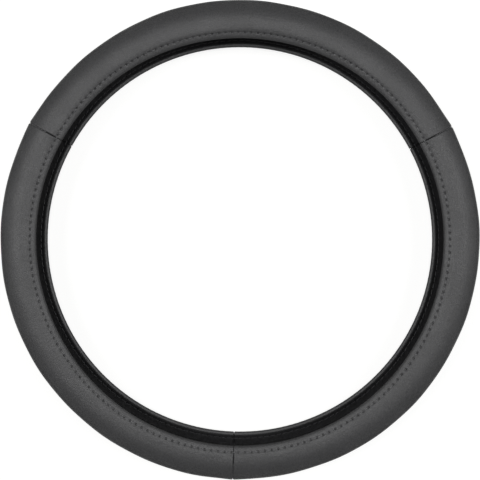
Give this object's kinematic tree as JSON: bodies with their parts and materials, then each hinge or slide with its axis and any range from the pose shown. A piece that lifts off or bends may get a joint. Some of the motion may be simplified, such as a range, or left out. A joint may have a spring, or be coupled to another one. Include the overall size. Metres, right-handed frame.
{
  "type": "steering wheel cover",
  "caption": "Slip-on ring cover for a car steering wheel: stitched leather panels folded over a rubber ring of C-shaped section that opens along its inner side.",
  "frame": {"origin": "centre of the ring, on the plane that its back rests on", "axes": "+Z along the ring's axis towards the front of the cover, +Y towards the top of the cover as it is fitted, +X to its right seen from the front"},
  "size_m": [0.3845, 0.3853, 0.0384],
  "materials": {
    "leather": "charcoal leather, finely grained and matte, with a soft sheen",
    "rubber": "black moulded rubber with shallow ribs on the inner face",
    "thread": "black bonded nylon sewing thread"
  },
  "bodies": {
    "root": {"rubber_inner_ring": "rubber", "upper_panel": "leather", "left_panel": "leather", "right_panel": "leather", "front_topstitch_thread": "thread", "back_topstitch_thread": "thread", "front_bobbin_thread": "thread", "back_bobbin_thread": "thread", "right_seam_thread": "thread", "left_seam_thread": "thread", "bottom_seam_thread": "thread"}
  },
  "joints": []
}
